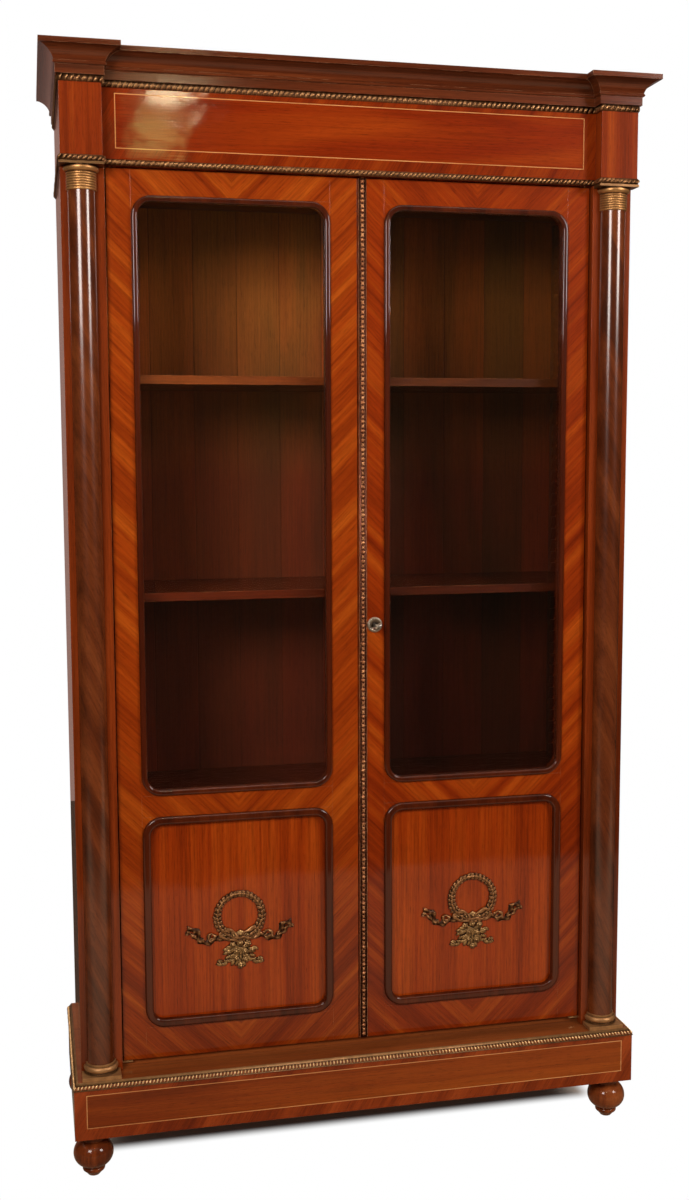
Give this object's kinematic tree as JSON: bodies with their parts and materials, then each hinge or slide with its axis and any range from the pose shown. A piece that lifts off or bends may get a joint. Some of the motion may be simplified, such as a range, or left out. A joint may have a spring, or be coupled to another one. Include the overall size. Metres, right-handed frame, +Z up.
{
  "type": "bookcase",
  "caption": "Tall breakfront bookcase with glazed doors over solid panels, half columns, gilt brass mounts, a deep cornice and bun feet.",
  "frame": {"origin": "on the floor, in the middle of the overall width and depth", "axes": "+X to the right seen from the front, +Y towards the wall behind, +Z up"},
  "size_m": [1.246, 0.449, 2.244],
  "materials": {
    "veneered_wood": "french polished veneer",
    "dark_wood": "dark french polish",
    "inner_wood": "satin varnish",
    "gilt_brass": "old gilding, chased",
    "steel_and_brass": "worn, plain",
    "clear_glass": "clear, polished"
  },
  "bodies": {
    "case": {"plinth_front_board": "veneered_wood", "plinth_side_boards": "veneered_wood", "plinth_back_board": "inner_wood", "plinth_top_board": "veneered_wood", "plinth_corner_blocks": "inner_wood", "bun_feet": "dark_wood", "side_boards": "veneered_wood", "front_posts": "veneered_wood", "bottom_board": "inner_wood", "top_board": "inner_wood", "roof_board": "inner_wood", "back_panel": "inner_wood", "frieze_board": "veneered_wood", "frieze_blocks": "veneered_wood", "cornice_front": "dark_wood", "left_cornice": "dark_wood", "right_cornice": "dark_wood", "left_column_shaft": "dark_wood", "right_column_shaft": "dark_wood", "upper_shelf": "inner_wood", "middle_shelf": "inner_wood", "lower_shelf": "inner_wood", "shelf_racks": "inner_wood", "shelf_cleats": "inner_wood", "plinth_brass_strip": "gilt_brass", "column_bases": "gilt_brass", "column_capitals": "gilt_brass", "lower_brass_strip": "gilt_brass", "upper_brass_strip": "gilt_brass", "door_pivot_plates": "gilt_brass"},
    "left_door": {"left_door_hinge_stile": "veneered_wood", "left_door_meeting_stile": "veneered_wood", "left_door_rails": "veneered_wood", "left_door_corner_blocks": "veneered_wood", "left_door_glass_moulding": "dark_wood", "left_door_glazing_beads": "dark_wood", "left_door_panel": "veneered_wood", "left_door_panel_moulding": "dark_wood", "left_door_pivot_sockets": "gilt_brass", "left_door_wreath_mount": "gilt_brass", "left_door_glass": "clear_glass", "left_door_bolt_cases": "gilt_brass"},
    "right_door": {"right_door_hinge_stile": "veneered_wood", "right_door_meeting_stile": "veneered_wood", "right_door_rails": "veneered_wood", "right_door_corner_blocks": "veneered_wood", "right_door_glass_moulding": "dark_wood", "right_door_glazing_beads": "dark_wood", "right_door_panel": "veneered_wood", "right_door_panel_moulding": "dark_wood", "right_door_pivot_sockets": "gilt_brass", "right_door_wreath_mount": "gilt_brass", "right_door_glass": "clear_glass", "meeting_strip": "gilt_brass", "key_rosette": "gilt_brass", "lock_case": "steel_and_brass"},
    "key": {"key": "steel_and_brass"},
    "lock_bolt": {"lock_bolt": "steel_and_brass"},
    "upper_door_bolt": {"upper_door_bolt": "gilt_brass"},
    "lower_door_bolt": {"lower_door_bolt": "gilt_brass"}
  },
  "joints": [
    {"name": "left_door_hinge", "type": "hinge", "parent": "case", "child": "left_door", "pos_m": [-0.493, -0.1385, 1.1], "axis": [0, 0, -1], "range_deg": [0, 90]},
    {"name": "right_door_hinge", "type": "hinge", "parent": "case", "child": "right_door", "pos_m": [0.493, -0.1385, 1.1], "axis": [0, 0, 1], "range_deg": [0, 90]},
    {"name": "key_turn", "type": "hinge", "parent": "right_door", "child": "key", "pos_m": [0.0355, -0.15, 1.121], "axis": [0, -1, 0], "range_deg": [0, 120]},
    {"name": "lock_bolt_slide", "type": "slide", "parent": "right_door", "child": "lock_bolt", "axis": [-1, 0, 0], "range_m": [0, 0.009]},
    {"name": "upper_bolt_slide", "type": "slide", "parent": "left_door", "child": "upper_door_bolt", "axis": [0, 0, 1], "range_m": [0, 0.012]},
    {"name": "lower_bolt_slide", "type": "slide", "parent": "left_door", "child": "lower_door_bolt", "axis": [0, 0, -1], "range_m": [0, 0.012]}
  ],
  "couplings": [
    {"joint": "key_turn", "follows": "lock_bolt_slide", "rad_per_m": 232.7}
  ]
}
